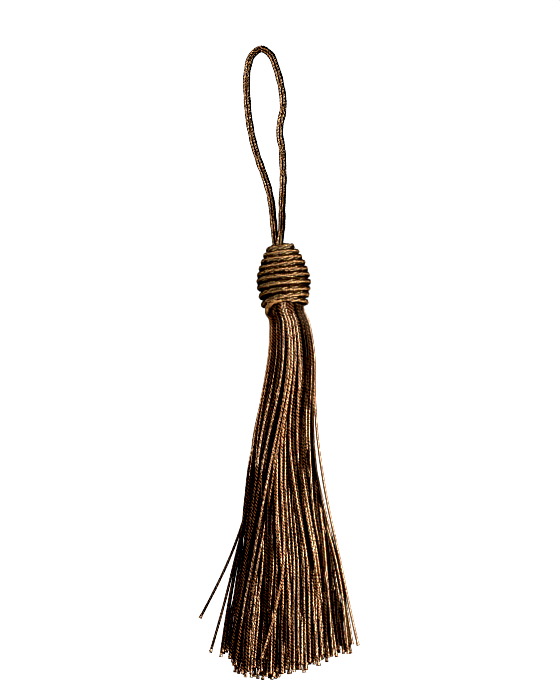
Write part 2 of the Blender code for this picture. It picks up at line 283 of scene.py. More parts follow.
def sweep(name, paths, outline, pitch, widths=None, starts=None):
    """Sweep a cord's section along each path and join the cords in one mesh.

    The section turns once in each pitch. starts holds the turn that each cord begins at.
    """
    joined = bmesh.new()
    for number, path in enumerate(paths):
        start = 0.0 if starts is None else starts[number]
        curve = bpy.data.curves.new(name, "CURVE")
        curve.dimensions = "3D"
        curve.use_fill_caps = True
        curve.bevel_mode = "OBJECT"
        curve.bevel_object = outline
        tilts = math.tau * (start - walk_along(path) / pitch)
        add_spline(curve, path, tilts, None if widths is None else widths[number])
        guide = add_object(name, curve)
        guide.data.update_tag()
        graph = bpy.context.evaluated_depsgraph_get()
        mesh = bpy.data.meshes.new_from_object(guide.evaluated_get(graph))
        uv = read(mesh.uv_layers[0].data, "uv", 2)
        uv[1::2] += number
        mesh.uv_layers[0].data.foreach_set("uv", uv)
        joined.from_mesh(mesh)
        bpy.data.meshes.remove(mesh)
        bpy.data.objects.remove(guide, do_unlink=True)
        bpy.data.curves.remove(curve)
    bmesh.ops.remove_doubles(joined, verts=joined.verts, dist=WELD)
    bmesh.ops.recalc_face_normals(joined, faces=joined.faces)
    made = bpy.data.meshes.new(name)
    joined.to_mesh(made)
    joined.free()
    made.shade_smooth()
    triangles = sum(len(face.vertices) - 2 for face in made.polygons)
    print(f"{name}: {len(paths)} cords, {triangles} triangles")
    return add_object(name, made)


# %% [markdown]
# ## Plies and painted shine
#
# A thick cord is made the way its maker makes it: plies are laid round a middle line, and
# each is swept by itself. Its colour carries a painted highlight along one line of the
# cord, where it would face the lamp, and painted shade on the rest, darker than its grooves
# alone would make it. So each vertex keeps a value, its painted shine and shade: how near
# the painted shining line it is.

# %% Plies and painted shine
Surface = namedtuple("Surface", "corners firsts counts u v places")


def unit(rows):
    """Scale each row to a length of one."""
    return rows / np.linalg.norm(rows, axis=1)[:, None]


def lay_plies(path, up, ply_circle, twist, plies):
    """Lay the plies round a path. At each point, up is a direction and twist a turn."""
    tangent = unit(np.gradient(path, axis=0))
    side = unit(np.cross(tangent, up))
    rise = np.cross(side, tangent)
    lines = []
    for ply in range(plies):
        turn = (twist + math.tau * ply / plies)[:, None]
        lines.append(path + ply_circle * (np.cos(turn) * side + np.sin(turn) * rise))
    return lines


def read_surface(mesh):
    """Read each corner's vertex, U and V, each face's corners, and each vertex's place."""
    uv = read(mesh.uv_layers["UVMap"].data, "uv", 2)
    corners = read(mesh.loops, "vertex_index", kind=int)
    firsts = read(mesh.polygons, "loop_start", kind=int)
    counts = np.diff(np.append(firsts, len(mesh.loops)))
    places = read(mesh.vertices, "co", 3)
    return Surface(corners, firsts, counts, uv[0::2], uv[1::2], places.reshape(-1, 3))


def keep_levels(mesh, name, levels, second):
    """Keep a level for each vertex, and give some faces the second silk."""
    layer = mesh.attributes.new(name, "FLOAT", "POINT")
    layer.data.foreach_set("value", levels)
    mesh.polygons.foreach_set("material_index", second.astype(int))
    print(f"{mesh.name}: {second.mean():.0%} of its faces get the second silk")


def paint_shine_and_shade(cord, path, outward, onward, shine, dull=-math.inf):
    """Keep for each vertex its painted shine and shade: how brightly its side is painted.

    shine is rows of an angle, from outward towards onward at each point of the path, and of
    the painted level there. Faces under the level dull get the second silk, a nearly
    glossless copy for the painted shade.
    """
    surface = read_surface(cord.data)
    nearest = np.zeros(len(surface.places), int)
    nearest[surface.corners] = np.round(surface.u * (len(path) - 1)).astype(int)
    offset = surface.places - path[nearest]
    out = (offset * outward[nearest]).sum(axis=1)
    on = (offset * onward[nearest]).sum(axis=1)
    levels = smooth_table(np.degrees(np.arctan2(on, out)), *zip(*shine))
    means = np.add.reduceat(levels[surface.corners], surface.firsts) / surface.counts
    keep_levels(cord.data, "painted_shine_and_shade", levels, means < dull)


# %% [markdown]
# ## Twisted silk
#
# Silk floss is a bundle of fine glossy fibres. On the crests of a cord they catch the lamp
# and shine like copper, and in its grooves they hardly see it. So that is painted into the
# colour, from a dark brown painted shade in the grooves to a gold-brown painted highlight
# on the crests, and the fibres are a fine ripple along the cord. A darker colour alone
# doesn't make a glossy cord dark, for its gloss stays. So a piece with dark places, painted
# shade among them, has a second silk there, with hardly any gloss.

# %% The silk's nodes
SILK_IOR = 1.6
FIBRE_GRAIN = (0.0009, 0.00007)  # how long and how wide
SPECK_GRAIN = (0.00032, 0.00022)
FIBRE_CONTRAST = 0.5
# The painted plies add painted shade and highlight to a cord's painted shine and shade.
PLY_SHARE = 0.12  # how much a cord's painted plies add to its crests
PLY_LOSS = 0.08
CORD_TINT = 0.1  # how much the plies of a cord differ
SPECK_HEIGHT = 0.8  # of the fibres' ripple
BUMP_STRENGTH = 0.8


def math_node(material, operation, first, second=0.0, third=0.0):
    """Add a math node and return its result."""
    node = add_node(material, "ShaderNodeMath", _0=first, _1=second, _2=third)
    node.operation = operation
    return node.outputs[0]


def color_ramp(material, level, stops):
    """Add a ramp through stops of position and colour, and return its colour."""
    ramp = add_node(material, "ShaderNodeValToRGB", Fac=level)
    elements = ramp.color_ramp.elements
    while len(elements) < len(stops):
        elements.new(0.5)
    for element, (position, color) in zip(elements, stops):
        element.position = position
        element.color = (*color, 1.0)
    return ramp.outputs["Color"]


def stretched_noise(material, split, size, grain, **inputs):
    """Add a noise over a cord's surface whose grain is so long and so wide, in metres."""
    along = math_node(material, "MULTIPLY", split.outputs["X"], size[0] / grain[0])
    around = math_node(material, "MULTIPLY", split.outputs["Y"], size[1] / grain[1])
    place = add_node(material, "ShaderNodeCombineXYZ", X=along, Y=around)
    noise = add_node(material, "ShaderNodeTexNoise", Vector=place.outputs[0], Scale=1.0, **inputs)
    return noise.outputs["Fac"]


def kept_level(material, name):
    """Read a value that the mesh keeps for each vertex."""
    kept = add_node(material, "ShaderNodeAttribute")
    kept.attribute_name = name
    return kept.outputs["Fac"]


def make_silk(
    name, section, length, stops, glint,
    gloss=0.20, shine=1.0, speckle=0.6, relief=0.00006, lay=None, dyed=False,
):
    """Paint twisted silk: painted shade in the grooves, painted highlights on the crests, and
    fine fibres.

    length is the cord's, for the size of its fibres. stops lead from the painted shade of the
    grooves to the painted highlight of the crests. The gloss has the colour glint and the
    strength shine. speckle is how much the specks change the colour, relief how high the
    ripple stands, and lay the pitch of a finer painted twist. Dyed silk goes by the brightness
    of dyeing, painted light and shade that its mesh keeps, other silk by its painted shine and
    shade.
    """
    size = length, math.tau * section.radius
    material, shader = new_material(name)
    math_of = partial(math_node, material)
    uv = add_node(material, "ShaderNodeUVMap")
    uv.uv_map = "UVMap"
    split = add_node(material, "ShaderNodeSeparateXYZ", Vector=uv.outputs[0])
    angle = math_of("MULTIPLY", split.outputs["Y"], math.pi * section.plies)
    if lay:
        turning = math.pi * section.plies * length / lay
        angle = math_of("MULTIPLY_ADD", split.outputs["X"], turning, angle)
    # ply is painted shade between the painted plies and painted highlight on them.
    ply = math_of("ABSOLUTE", math_of("COSINE", angle))
    fibres = stretched_noise(material, split, size, FIBRE_GRAIN, Detail=2.0)
    specks = stretched_noise(material, split, size, SPECK_GRAIN, Detail=1.0)

    # Threads go by the dyeing, painted light and shade kept on the mesh; cords by the painted shine and
    # shade kept on it, with the painted plies added.
    if dyed:
        level = ply
        brightness = kept_level(material, "dye_and_shade")
    else:
        level = math_of("MULTIPLY_ADD", ply, PLY_SHARE, kept_level(material, "painted_shine_and_shade"))
        level = math_of("SUBTRACT", level, PLY_LOSS)
        number = math_of("FLOOR", split.outputs["Y"])
        chance = add_node(material, "ShaderNodeTexWhiteNoise", Vector=number).outputs["Value"]
        brightness = math_of("MULTIPLY_ADD", chance, 2 * CORD_TINT, 1 - CORD_TINT)
    for noise, contrast in ((fibres, FIBRE_CONTRAST), (specks, speckle)):
        level = math_of("ADD", level, math_of("MULTIPLY_ADD", noise, contrast, -contrast / 2))
    color = color_ramp(material, level, stops)
    dye_and_shade = add_node(material, "ShaderNodeHueSaturation", Color=color, Value=brightness)
    height = math_of("MULTIPLY_ADD", specks, SPECK_HEIGHT, fibres)
    bump = add_node(
        material, "ShaderNodeBump", Height=height, Strength=BUMP_STRENGTH, Distance=relief
    )
    set_inputs(
        material, shader, Base_Color=dye_and_shade.outputs["Color"], Normal=bump.outputs["Normal"],
        Roughness=gloss, IOR=SILK_IOR, Specular_IOR_Level=shine, Specular_Tint=(*glint, 1.0),
    )
    return material


mirrored = ((SILK_IOR - 1) / (SILK_IOR + 1)) ** 2
print(f"head on, silk mirrors {mirrored:.0%} of the light")

# %% [markdown]
# ## The hanging loop
#
# The loop is one length of cord, both ends going into the head. Its four strands are hardly
# turned round each other, so that two lie on top, side by side, with a groove between that is
# dark by its own shade and by painted shade.
# Each is itself three yarns twisted hard. One round section with painted strands would be
# lighter, but no shadow could lie in its grooves. The loop is limp and lies on the table
# wherever the head doesn't hold it up. Its route is its solid's, with a hidden bit more
# tucked into the head.

# %% The loop's route
CORD_PLIES = 4
TWO_ON_TOP = math.pi / 4  # the turn at which two of the four lie side by side on top
CORD_TURN = math.radians(12.0)  # how far to the left the upper groove lies
PLY_CIRCLE = 0.00048
YARN_SECTION = Section(radius=0.00038, plies=3, corners=4, groove=0.14)
YARN_PITCH = 0.0019
CORD_STEP = 0.00025
SWAP_RUN = 0.001  # length of cord over which its left side becomes its right one
CORD_WAVES = ((0.12, 0.00071, 0.0), (0.10, 0.00043, 1.0))  # turn, length and phase of each
CORD_REST = 0.00083  # how high its middle lies on the table
FLAT_ROUTE = (
    (-0.00307, 0.0605), (-0.00427, 0.0638), (-0.00531, 0.0672), (-0.00601, 0.0704),
    (-0.00651, 0.0737), (-0.00676, 0.0770), (-0.00691, 0.0801), (-0.00666, 0.0833),
    (-0.00570, 0.0862), (-0.00370, 0.08755), (-0.00185, 0.0864), (-0.00060, 0.0836),
    (0.00030, 0.0804), (0.00085, 0.0769), (0.00085, 0.0744), (0.00030, 0.0718),
    (0.00015, 0.0696), (0.00065, 0.0664), (0.00080, 0.0633),
)
LOOP_ROUTE = (
    (-0.00075, 0.0467, 0.0043), (-0.00100, 0.0490, 0.00375), (-0.00125, 0.0515, 0.0029),
    (-0.00152, 0.0543, 0.0019), (-0.00212, 0.0574, 0.0011),
    *((x, y, CORD_REST) for x, y in FLAT_ROUTE),
    (0.00090, 0.0602, 0.00085), (0.00080, 0.0573, 0.0012), (0.00065, 0.0543, 0.00225),
    (0.00065, 0.0515, 0.00345), (0.00055, 0.0490, 0.0046), (0.00020, 0.0467, 0.0055),
)
LEFT_TUCK = (-0.00045, 0.0449, 0.0044)
RIGHT_TUCK = (0.00020, 0.0449, 0.00545)

loop_path = smooth_curve((LEFT_TUCK, *LOOP_ROUTE, RIGHT_TUCK), CORD_STEP)
walked = walk_along(loop_path)
loop_length = float(walked[-1])
print(f"the loop is {1000 * loop_length:.1f} mm of cord")

# %% The loop's looks
# Painted highlight and shade round the loop, by angle from straight up: two painted shining streaks
# near the top, painted shade between them and on the sides.
CORD_SHINE = (
    (-180, 0.40), (-165, 0.90), (-135, 0.90), (-118, 0.10), (-90, 0.0), (-64, 0.10),
    (-46, 0.95), (-28, 0.95), (-12, 0.05), (0, 0.95), (14, 0.95), (30, 0.25),
    (50, 0.05), (90, 0.0), (118, 0.05), (140, 0.30), (160, 0.90), (180, 0.40),
)
# Faces whose painted level is below this get the shaded loop silk, a nearly glossless copy for the
# painted shade.
CORD_SHADED_BELOW = 0.4
CORD_SILKS = (("loop silk", 0.25), ("shaded loop silk", 0.02))  # with their shine
CORD_GLINT = (1.0, 0.74, 0.47)
# The loop's colours, from near-black painted shade to a gold painted highlight.
CORD_STOPS = (
    (0.42, (0.0005, 0.00012, 0.00004)),
    (0.68, (0.003, 0.0010, 0.0003)),
    (0.88, (0.034, 0.013, 0.0045)),
    (1.00, (0.52, 0.245, 0.103)),
)

up = np.array((0.0, 0.0, 1.0))
leftness = np.tanh((walked[loop_path[:, 1].argmax()] - walked) / SWAP_RUN)
waves = sum(turn * np.sin(walked / length + phase) for turn, length, phase in CORD_WAVES)
twist = TWO_ON_TOP + CORD_TURN * leftness + waves
loop_plies = lay_plies(loop_path, up, PLY_CIRCLE, twist, CORD_PLIES)
loop = sweep("loop_cord_silk", loop_plies, draw_section("ply_section", YARN_SECTION), -YARN_PITCH)
aside = unit(np.cross(np.gradient(loop_path, axis=0), up))
# Flipped on the right leg, so that the painted highlight and shade lie on the same side of both legs.
aside *= np.where(leftness > 0, 1.0, -1.0)[:, None]
for name, shine in CORD_SILKS:
    silk = make_silk(
        name, YARN_SECTION, loop_length, CORD_STOPS, CORD_GLINT, shine=shine, relief=0.00002
    )
    loop.data.materials.append(silk)
paint_shine_and_shade(loop, loop_path, np.tile(up, (len(loop_path), 1)), aside, CORD_SHINE, CORD_SHADED_BELOW)
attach(loop, "root")
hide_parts("loop_cord")

# %% [markdown]
# ## The wound head
#
# The maker winds the cord round the bound threads from the top down, each turn against the
# last. The cord's centre follows an egg's outline and climbs down it by one thickness in
# each turn. A stack of rings would look much the same from afar, but its turns wouldn't
# slant, and it would have no end. Here the last turns sag, and a short tail is led across
# them to the neck, where the real cord is tucked in.

# %% The head's sizes
HEAD_SECTIONS = (  # how far down, and the radius there
    (0.00035, 0.00120), (0.00160, 0.00250), (0.00400, 0.00385), (0.00660, 0.00475),
    (0.00890, 0.00510), (0.01150, 0.00458), (0.01420, 0.00385),
)
OUTLINE_ROWS = 200
HEAD_TOP = Vector((0.0004, 0.0464, 0.0046))
HEAD_LEAN = math.radians(4.0)
HEAD_DIP = math.radians(4.5)
WIND_END = math.radians(100.0)
WIND_PITCH = 0.00138
WIND_STEPS = 72  # points in a turn
TURN_PARTS = 24  # the head has a whole number of these parts of a turn
WIND_PLIES = 3
WIND_SECTION = Section(radius=0.00044, plies=2, corners=6, groove=0.10)
PLY_PITCH = 0.0066
WIND_CIRCLE = 0.00030
WIND_UNEVEN = 0.00005
WIND_WAVES = ((0.83, 0.4), (1.37, 2.1), (2.6, 4.0))  # rates and phases
WAVE_RATIO = 1.3  # how much faster the cord goes in and out than up and down
TAIL_BENDS = (  # degrees round the head, how far down, and how far off the outline
    (14, 0.0124, -0.0007), (28, 0.0127, -0.0001), (44, 0.0132, 0.0002),
    (60, 0.0139, 0.0002), (76, 0.0147, 0.0), (98, 0.0153, -0.0004),
)
CORE_END = 0.0122  # how far down the core reaches
CORE_INSET = 0.00025
CORE_LEAST = 0.0002  # its radius at the top
CORE_LOWEST = 0.0003
CORE_SKIP = 10  # it needs only every tenth row of the outline
CORE_STEPS = 48
WIND_STOP = 0.26  # turns that the cord ends before WIND_END, at the front
SAGS = (  # how far down the cord sags, so many turns before WIND_END
    (0.26, -0.0007), (0.40, -0.0002), (0.53, 0.0003), (0.80, 0.0004), (1.03, 0.0009),
    (1.11, 0.0007), (1.20, 0.0001), (1.30, 0.0), (1.53, 0.0), (1.80, 0.0002),
    (2.03, 0.0005), (2.11, 0.0003), (2.25, 0.0), (12.0, 0.0),
)
TUCKS = ((0.26, -0.0005), (0.33, -0.0001), (0.42, 0.0), (12.0, 0.0))


def head_frame():
    """Turn a head that stands along -Y from the origin into the place where it lies."""
    lean = Matrix.Rotation(HEAD_LEAN, 4, "Z")
    dip = Matrix.Rotation(-HEAD_DIP, 4, "X")
    return Matrix.Translation(HEAD_TOP) @ lean @ dip


def moved(points, matrix):
    """Move rows of points by a matrix."""
    change = np.array(matrix)
    return points @ change[:3, :3].T + change[:3, 3]


def round_head(angle, down, radius):
    """Place points round the head's axis, at angles, so far down and so far out."""
    line = np.column_stack([-radius * np.sin(angle), -down, radius * np.cos(angle)])
    return moved(line, head_frame())


def head_outline():
    """Read the egg's outline as rows of depth and radius, with the distance along it."""
    downs, radii = zip(*HEAD_SECTIONS)
    fine = np.linspace(downs[0], downs[-1], OUTLINE_ROWS)
    outline = np.stack([fine, smooth_table(fine, downs, radii)], axis=1)
    return outline, walk_along(outline)


print(f"the head's outline is {1000 * head_outline()[1][-1]:.1f} mm long")

# %% [markdown]
# ### The cord's way round the head
#
# The turns are counted from the neck up. No maker winds quite evenly, so each strays a
# little up and down and in and out, by a few slow waves. How the last ones sag is read from
# a table, and the cord is tucked in where it ends.

# %% The cord's way round the head
def wound_line():
    """Follow the centre of the wound cord from the top of the head down."""
    outline, along = head_outline()
    turns = round((along[-1] / WIND_PITCH - 1) * TURN_PARTS) / TURN_PARTS
    pitch = along[-1] / (turns + 1)
    turn = np.linspace(0.0, turns, round(turns * WIND_STEPS) + 1)
    angle = WIND_END - math.tau * (turns - turn)
    reached = pitch * (turn + 0.5)
    down = np.interp(reached, along, outline[:, 0])
    radius = np.interp(reached, along, outline[:, 1])
    slack = np.clip(np.minimum(turn, turns - turn), 0.0, 1.0)
    for rate, phase in WIND_WAVES:
        down += slack * WIND_UNEVEN * np.sin(angle * rate + phase)
        radius += slack * WIND_UNEVEN / 2 * np.sin(angle * rate * WAVE_RATIO + 2 * phase)
    left = turns - turn
    down += np.interp(left, *zip(*SAGS))
    radius += np.interp(left, *zip(*TUCKS))
    kept = left > WIND_STOP
    return round_head(angle, down, radius)[kept], turns - WIND_STOP


def tail_line():
    """Lead the cord's end across the last turns, and under them."""
    outline, _ = head_outline()
    degrees, down, lift = np.array(TAIL_BENDS).T
    radius = np.interp(down, outline[:, 0], outline[:, 1]) + lift
    return smooth_curve(round_head(np.radians(degrees), down, radius), CORD_STEP)


winding_path, winding_turns = wound_line()
tail_path = tail_line()
print(f"{winding_turns:.1f} turns, and a tail")

# %% [markdown]
# ### Winding the cord
#
# Three plies are laid round the line. Each turn's colour carries a painted highlight a little
# on the skirt's side of its ridge and painted shade where it meets the next, so the painted
# shining line is found from the direction straight out of the head. The short tail lies
# freely and is painted shining nearly all over. What would sink into the table is laid on it.

# %% Winding the cord
# Painted highlight and shade round each turn, by angle from straight out towards the skirt: a painted
# shining line just on the skirt's side, painted shade where turns meet.
TURN_SHINE = (
    (-180, 0.0), (-80, 0.15), (-45, 0.38), (-12, 0.48), (8, 0.95), (24, 0.95), (40, 0.10),
    (90, 0.0), (180, 0.0),
)
# The tail's painted highlight covers nearly all of it.
TAIL_SHINE = (
    (-180, 0.3), (-80, 0.6), (-45, 0.75), (0, 0.95), (45, 0.95), (80, 0.5), (110, 0.2), (180, 0.3),
)
TURN_GLINT = (1.0, 0.70, 0.37)
# The head's colours, from near-black painted shade to a gold painted highlight.
TURN_STOPS = (
    (0.20, (0.0006, 0.00015, 0.00005)),
    (0.48, (0.007, 0.0023, 0.0006)),
    (0.78, (0.042, 0.015, 0.0044)),
    (1.00, (0.245, 0.113, 0.041)),
)


def out_of_head(path):
    """Find the directions straight out of the head, and along it to the skirt."""
    middle = moved(path, head_frame().inverted())
    outline, _ = head_outline()
    slope = np.interp(-middle[:, 1], outline[:, 0], np.gradient(outline[:, 1], outline[:, 0]))
    radial = unit(middle * (1.0, 0.0, 1.0))
    outward = unit(radial + slope[:, None] * (0.0, 1.0, 0.0))
    onward = unit(slope[:, None] * radial - np.array((0.0, 1.0, 0.0)))
    place = np.array(head_frame())[:3, :3]
    return outward @ place.T, onward @ place.T


def wind_piece(name, path, shine):
    """Make a length of the head's cord, its plies and its painted shining line."""
    outward, onward = out_of_head(path)
    twist = math.tau * walk_along(path) / PLY_PITCH
    plies = lay_plies(path, outward, WIND_CIRCLE, twist, WIND_PLIES)
    piece = sweep(name, plies, wind_section, -YARN_PITCH)
    paint_shine_and_shade(piece, path, outward, onward, shine)
    for vert in piece.data.vertices:
        vert.co.z = max(vert.co.z, 0.0)
    length = float(walk_along(path)[-1])
    silk = make_silk(f"{name} silk", WIND_SECTION, length, TURN_STOPS, TURN_GLINT, relief=0.00009)
    piece.data.materials.append(silk)
    print(f"{name}: {1000 * length:.0f} mm of cord")
    return piece


wind_section = draw_section("wind_section", WIND_SECTION)
winding = wind_piece("head_winding_silk", winding_path, TURN_SHINE)
tail = wind_piece("head_tail_silk", tail_path, TAIL_SHINE)

# %% [markdown]
# ### The core
#
# Under the cord are the folded threads themselves, and nobody sees them. A dark, dull solid
# of revolution stands in for them: its outline is spun round the head's axis, a little
# inside the middle of the cord.

# %% The core
def make_core():
    """Spin the core that the cord is wound on."""
    outline, _ = head_outline()
    picks = outline[outline[:, 0] < CORE_END][::CORE_SKIP]
    bm = bmesh.new()
    profile = [bm.verts.new((0.0, -picks[0][0], 0.0))]
    for down, radius in picks:
        profile.append(bm.verts.new((max(radius - CORE_INSET, CORE_LEAST), -down, 0.0)))
    profile.append(bm.verts.new((0.0, -picks[-1][0], 0.0)))
    edges = [bm.edges.new(pair) for pair in zip(profile, profile[1:])]
    bmesh.ops.spin(
        bm, geom=profile + edges, axis=(0.0, 1.0, 0.0), cent=(0.0, 0.0, 0.0),
        angle=math.tau, steps=CORE_STEPS, use_merge=True, use_duplicate=False,
    )
    bmesh.ops.remove_doubles(bm, verts=bm.verts, dist=WELD)
    bmesh.ops.recalc_face_normals(bm, faces=bm.faces)
    bm.transform(head_frame())
    for vert in bm.verts:
        vert.co.z = max(vert.co.z, CORE_LOWEST)
    mesh = bpy.data.meshes.new("head_core")
    bm.to_mesh(mesh)
    bm.free()
    mesh.shade_smooth()
    return add_object("head_core", mesh)


core = make_core()
dark, shader = new_material("dark core")
set_inputs(dark, shader, Base_Color=(0.010, 0.004, 0.002, 1.0), Roughness=0.8, Specular_IOR_Level=0.0)
core.data.materials.append(dark)
print("the core has", len(core.data.polygons), "faces")
for piece in (winding, tail, core):
    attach(piece, "root")
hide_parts("head_winding")

# %% [markdown]
# ## The skirt: where each thread goes
#
# The threads' roots are packed like rods where they leave the head, and every thread is
# drawn from its root to its own place in the line of tips. Chance gives it a wave, and a
# few named strays leave the rest. The lines, the seed and the order of the draws are those
# of the solid strands.

# %% The skirt's sizes
GAP = 0.0003
SKIRT_SECTIONS = (  # y, and the x of the left and right edge
    (-0.0470, -0.0138, 0.0171), (-0.0381, -0.0126, 0.0160), (-0.0296, -0.0116, 0.0150),
    (-0.0211, -0.0099, 0.0134), (-0.0126, -0.0083, 0.0109), (-0.0040, -0.0077, 0.0089),
    (0.0045, -0.0067, 0.0079), (0.0130, -0.0046, 0.0082), (0.0215, -0.0025, 0.0086),
    (0.0279, -0.0018, 0.0072), (0.0330, -0.0024, 0.0056),
)
TIP_LINE = (  # x and y
    (-0.0128, -0.0417), (-0.0110, -0.0416), (-0.0098, -0.0446), (-0.0062, -0.0456),
    (-0.0019, -0.0463), (0.0045, -0.0446), (0.0109, -0.0420), (0.0168, -0.0403),
)
TIP_SCATTER = 0.0018
TIP_SKEW = 1.6  # most tips lie near the line
THREAD_PITCH = 0.00062
STRAND_SIDE = 0.00042
STRAND_ROOM = 0.0005
TRIES = 8
LIFT_PASSES = 12
MOUND = 0.85
NECK_RADIUS = 0.00404
NECK_Y = 0.0315
LIP_LENGTH = 0.0006
ROOT_HOLD = 0.0002
STATIONS = (0.0, 0.003, 0.008, 0.015, 0.025, 0.038, 0.052, 0.066, 0.0788)
CHECKS_PER_SPAN = 8
FALL_RUN = 0.030
WAVE_MOST = 0.00045
WAVE_SHARES = (0.2, 1.0)
WAVE_TURNS = (0.7, 2.2)
SEED = 11
Root = namedtuple("Root", "row rank count side place stray")
Stray = namedtuple("Stray", "row rank leave_y tip_x tip_y bow")
STRAYS = (
    Stray(6, -1, 0.0170, 0.0168, -0.0392, 1.5),
    Stray(5, 0, -0.0080, -0.0168, -0.0334, 1.25),
    Stray(7, 0, -0.0065, -0.0146, -0.0407, 1.25),
    Stray(13, 2, -0.0221, -0.0036, -0.0417, 1.3),
)
print(f"the longest thread is {1000 * STATIONS[-1]:.1f} mm below the neck, {len(STRAYS)} strays")

# %% [markdown]
# ### Roots and lines
#
# A bound bundle is packed: each row of roots lies in the hollows of the row below. A thread
# keeps its share of the way across from there to the tips, and upper ones end nearer the
# middle, which makes the skirt a mound.

# %% Roots and lines
def neck_roots():
    """Pack the threads' roots in rows, where they leave the head."""
    place = head_frame()
    down = HEAD_SECTIONS[-1][0] + GAP + LIP_LENGTH - ROOT_HOLD
    roots = []
    rise = THREAD_PITCH * math.sin(math.radians(60))
    reach = NECK_RADIUS - THREAD_PITCH / 2
    half_rows = int(reach / rise - 0.5) + 1
    for row in range(2 * half_rows):
        height = (row - half_rows + 0.5) * rise
        width = 2 * math.sqrt(reach**2 - height**2)
        count = int(width / THREAD_PITCH) + 1
        if count % 2 != row % 2:
            count -= 1
        for rank in range(count):
            side = (rank - (count - 1) / 2) * THREAD_PITCH
            stray = [lead for lead in STRAYS if (lead.row, lead.rank % count) == (row, rank)]
            point = place @ Vector((side, -down, height))
            roots.append(Root(row, rank, count, side, point, stray[0] if stray else None))
    return roots


def skirt_edges(ys):
    """Read the middles of the skirt's outermost threads, left and right."""
    keys, left, right = zip(*SKIRT_SECTIONS)
    left = smooth_table(ys, keys, left) + THREAD_PITCH / 2
    return left, smooth_table(ys, keys, right) - THREAD_PITCH / 2


def share_gone(leave_y, ys, end_y):
    """Find how far a thread has gone from where it leaves the others."""
    return np.clip((leave_y - ys) / (leave_y - end_y), 0.0, None)


def led_aside(x, ys, lead, end_y):
    """Lead a thread's line away from the others, to a tip of its own."""
    gone = share_gone(lead.leave_y, ys, end_y)
    leave_x = float(np.interp(-lead.leave_y, -ys, x))
    return np.where(gone > 0, leave_x + (lead.tip_x - leave_x) * gone**lead.bow, x)


def thread_line(root, rows, downs, rng):
    """Draw a thread's sideways line from its root, with a tip and a wave by chance."""
    ys = NECK_Y - downs
    left, right = skirt_edges(ys)
    run = np.clip(downs / downs[-1], 0.0, 1.0)
    reach = math.sqrt(1 - MOUND * ((root.row + 0.5) / rows) ** 2)
    across = root.rank / (root.count - 1) - 0.5 + rng.uniform(-0.5, 0.5) / root.count
    root_share = 0.5 + root.side / (2 * NECK_RADIUS - THREAD_PITCH)
    tip_share = min(max(0.5 + reach * across, 0.0), 1.0)
    share = root_share + (tip_share - root_share) * eased(run)
    wave = WAVE_MOST * rng.uniform(*WAVE_SHARES) * np.sin(math.pi * run)
    wave = wave * np.sin(math.tau * (run * rng.uniform(*WAVE_TURNS) + rng.random()))
    x = left + (right - left) * share + wave
    x = led_aside(x, ys, root.stray, root.stray.tip_y) if root.stray else x
    return x, tip_share


def tip_line(x):
    """Read how far down the line of tips is."""
    return np.interp(x, *zip(*TIP_LINE))


def tip_of(root, tip_share, rng):
    """Find the y at which a thread ends."""
    left, right = skirt_edges(np.array([NECK_Y - STATIONS[-1]]))
    x = left[0] + (right[0] - left[0]) * tip_share
    y = float(tip_line(x)) + TIP_SCATTER * rng.random() ** TIP_SKEW
    return root.stray.tip_y if root.stray else y


thread_roots = neck_roots()
print(f"{len(thread_roots)} roots in {thread_roots[-1].row + 1} rows")

# %% [markdown]
# ### Laying the threads
#
# The threads could be dropped in a simulation, but laying them one by one, lowest row
# first, is quicker and gives the same result each time. Of a few lines each takes the one
# that lies lowest, and it is lifted until it clears every thread laid before it.

# %% Laying the threads
def rest_on(x, laid):
    """Find how high a thread at these places has to lie to clear those already laid."""
    floor = np.full(len(x), STRAND_SIDE / 2)
    for other_x, other_z in laid:
        over = np.abs(x - other_x) < STRAND_ROOM
        floor = np.maximum(floor, np.where(over, other_z + STRAND_ROOM, 0))
    return floor


def lay_threads(roots):
    """Lay the threads one by one. Returns x and z at the stations, and each tip's y."""
    rng = random.Random(SEED)
    downs = np.array(STATIONS)
    checks = np.arange((len(downs) - 1) * CHECKS_PER_SPAN + 1) / CHECKS_PER_SPAN
    weights = np.clip(1 - abs(checks[:, None] - np.arange(len(downs))[None, :]), 0, 1)
    rows = roots[-1].row + 1
    laid, xs, zs, tips = [], [], [], []
    for root in roots:
        lines = [thread_line(root, rows, downs, rng) for _ in range(TRIES)]
        floors = [rest_on(weights @ x, laid) for x, _ in lines]
        lowest = min(range(TRIES), key=lambda index: floors[index].sum())
        x, tip_share = lines[lowest]
        z = STRAND_SIDE / 2 + (root.place.z - STRAND_SIDE / 2) * (1 - eased(downs / FALL_RUN))
        for _ in range(LIFT_PASSES):
            short = np.clip(floors[lowest] - weights @ z, 0, None)
            z[1:] += (weights * short[:, None]).max(axis=0)[1:]
        laid.append((weights @ x, weights @ z))
        xs.append(x)
        zs.append(z)
        tips.append(tip_of(root, tip_share, rng))
    return np.array(xs), np.array(zs), np.array(tips)


lay_x, lay_z, tip_y = lay_threads(thread_roots)
print(f"{len(lay_x)} threads laid, the highest at {1000 * lay_z.max():.1f} mm")

# %% [markdown]
# ## Settling the threads
#
# Real threads are round and limp: they sink into the grooves between the ones below and
# push each other aside. A small solver does that here. It works in slices across the skirt,
# where every thread is a disc. In each round the discs sink a little, discs that overlap
# part, the table holds them up, and each thread is smoothed along its length. First each
# thread strays a little by chance, and a few upper ones are led right across the others.

